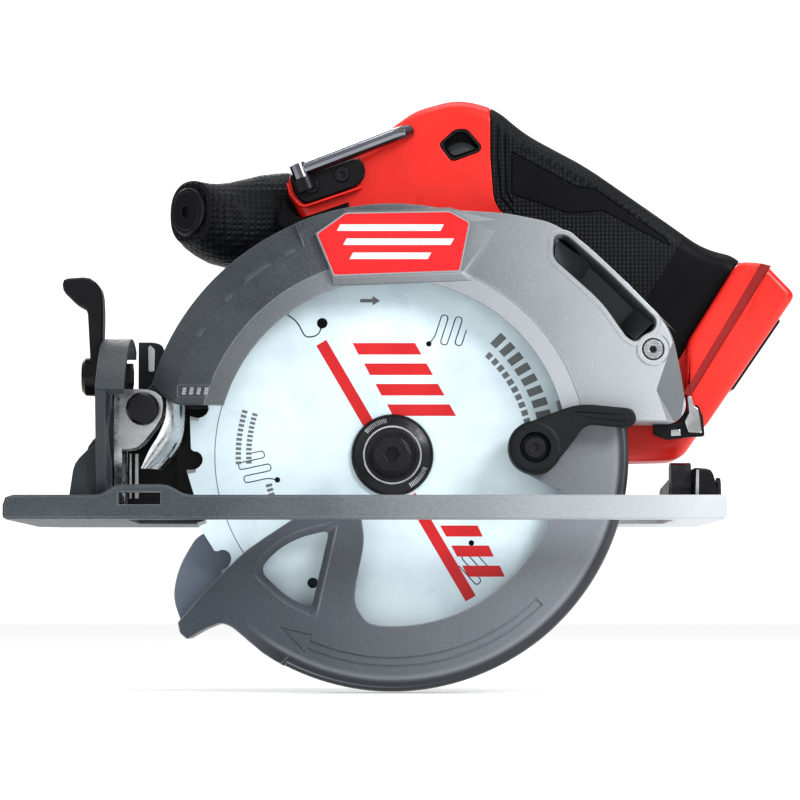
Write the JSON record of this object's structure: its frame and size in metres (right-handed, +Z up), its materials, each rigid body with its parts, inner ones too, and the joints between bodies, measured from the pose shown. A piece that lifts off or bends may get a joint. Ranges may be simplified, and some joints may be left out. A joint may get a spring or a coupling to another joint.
{
  "type": "circular saw",
  "caption": "Cordless circular saw with the blade on the left: cast guards, slotted shoe, rear handle, sprung lower guard, bevel and depth settings.",
  "frame": {"origin": "on the sole plane, directly under the blade's axis in side view, on the solid motor-side half of the shoe; the blade's plane is 50 mm from it towards -Y", "axes": "+Z up from the sole, -X the front of the saw, +X the rear, -Y the blade side, +Y the motor side"},
  "size_m": [0.3122, 0.1508, 0.2398],
  "materials": {
    "magnesium": "powder coat, fine sparkle",
    "dark_magnesium": "satin powder coat",
    "button_plastic": "fine texture",
    "red_plastic": "fine texture",
    "badge": "glossy",
    "black_plastic": "satin",
    "rubber": "textured",
    "zinc": "bright zinc plate",
    "black_steel": "black oxide",
    "steel": "ground",
    "blade_coat": "pale low-friction coating",
    "chrome": "polished",
    "copper": "windings",
    "board": "satin",
    "lens": "clear"
  },
  "bodies": {
    "shoe": {"shoe_plate": "dark_magnesium", "front_bevel_quadrant": "dark_magnesium", "front_bevel_pin": "zinc", "rear_pivot_bracket": "black_plastic", "rear_pivot_pin": "zinc"},
    "rip_fence_knob": {"rip_fence_knob": "black_plastic"},
    "bevel_cradle": {"bevel_cradle": "zinc", "depth_pivot_bolt": "black_steel", "bevel_clamp_bolt": "black_steel"},
    "bevel_lever": {"bevel_lever": "black_plastic"},
    "saw_head": {"upper_guard": "magnesium", "guard_badge": "badge", "guard_screw": "steel", "nose_deflector": "zinc", "guard_bumper": "rubber", "guard_tie_bracket": "zinc", "dust_chute": "black_plastic", "gear_case": "magnesium", "spindle_bearing_front": "steel", "spindle_bearing_rear": "steel", "motor_bearing_front": "steel", "motor_bearing_rear": "steel", "stator": "copper", "motor_housing": "black_plastic", "motor_end_cap": "black_plastic", "handle_shell_left": "red_plastic", "handle_shell_right": "red_plastic", "grip_overmold": "rubber", "front_grip": "rubber", "front_grip_cap": "black_plastic", "hook_bracket": "black_plastic", "hook_screw_1": "black_steel", "hook_screw_2": "black_steel", "switch_body": "black_plastic", "control_board": "board", "battery_terminal_block": "black_plastic", "depth_clamp_bolt": "black_steel", "led_window": "lens", "guard_return_spring": "steel"},
    "spindle": {"blade": "blade_coat", "outer_flange": "black_steel", "inner_flange": "black_steel", "arbor_bolt": "black_steel", "spindle_shaft": "steel", "drive_gear": "steel"},
    "rotor": {"motor_pinion": "steel", "rotor": "black_steel", "cooling_fan": "black_plastic"},
    "lower_guard": {"lower_guard": "dark_magnesium", "guard_lever": "black_plastic", "guard_lever_screw": "black_steel"},
    "depth_lever": {"depth_lever": "black_plastic"},
    "trigger": {"trigger": "black_plastic"},
    "lock_off_button": {"lock_off_button": "button_plastic"},
    "rafter_hook": {"rafter_hook": "chrome"},
    "spindle_lock_button": {"spindle_lock_button": "black_plastic"}
  },
  "joints": [
    {"name": "bevel", "type": "hinge", "parent": "shoe", "child": "bevel_cradle", "pos_m": [0, -0.05, 0.012], "axis": [1, 0, 0], "range_deg": [0, 50]},
    {"name": "depth", "type": "hinge", "parent": "bevel_cradle", "child": "saw_head", "pos_m": [-0.099, -0.05, 0.0445], "axis": [0, -1, 0], "range_deg": [0, 26]},
    {"name": "rip_fence_knob_turn", "type": "hinge", "parent": "shoe", "child": "rip_fence_knob", "pos_m": [-0.098, 0.032, 0.015], "axis": [0, 0, 1], "range_deg": [0, 360]},
    {"name": "bevel_lever_turn", "type": "hinge", "parent": "bevel_cradle", "child": "bevel_lever", "pos_m": [-0.118, -0.05, 0.058], "axis": [1, 0, 0], "range_deg": [0, 60]},
    {"name": "depth_lever_turn", "type": "hinge", "parent": "saw_head", "child": "depth_lever", "pos_m": [0.0909, 0.026, 0.038], "axis": [0, -1, 0], "range_deg": [0, 60]},
    {"name": "spindle_spin", "type": "hinge", "parent": "saw_head", "child": "spindle", "pos_m": [0, -0.05, 0.0265], "axis": [0, 1, 0], "continuous": true},
    {"name": "rotor_spin", "type": "hinge", "parent": "saw_head", "child": "rotor", "pos_m": [0.008, -0.01, 0.05019], "axis": [0, 1, 0], "continuous": true},
    {"name": "lower_guard_swing", "type": "hinge", "parent": "saw_head", "child": "lower_guard", "pos_m": [0, -0.05, 0.0265], "axis": [0, -1, 0], "range_deg": [0, 130], "stiffness_Nm_per_rad": 0.25, "springref_deg": -45.84},
    {"name": "trigger_pull", "type": "slide", "parent": "saw_head", "child": "trigger", "axis": [0.565, 0, 0.8251], "range_m": [0, 0.005], "stiffness_N_per_m": 600, "springref_m": -0.004},
    {"name": "lock_off_press", "type": "slide", "parent": "saw_head", "child": "lock_off_button", "axis": [0, 1, 0], "range_m": [0, 0.003], "stiffness_N_per_m": 500, "springref_m": -0.002},
    {"name": "spindle_lock_press", "type": "slide", "parent": "saw_head", "child": "spindle_lock_button", "axis": [1, 0, 0], "range_m": [0, 0.004], "stiffness_N_per_m": 500, "springref_m": -0.002},
    {"name": "rafter_hook_swing", "type": "hinge", "parent": "saw_head", "child": "rafter_hook", "pos_m": [-0.0376, -0.0396, 0.142], "axis": [0.3579, 0, -0.9338], "range_deg": [0, 90]}
  ],
  "couplings": [
    {"joint": "rotor_spin", "follows": "spindle_spin", "ratio": -4}
  ]
}
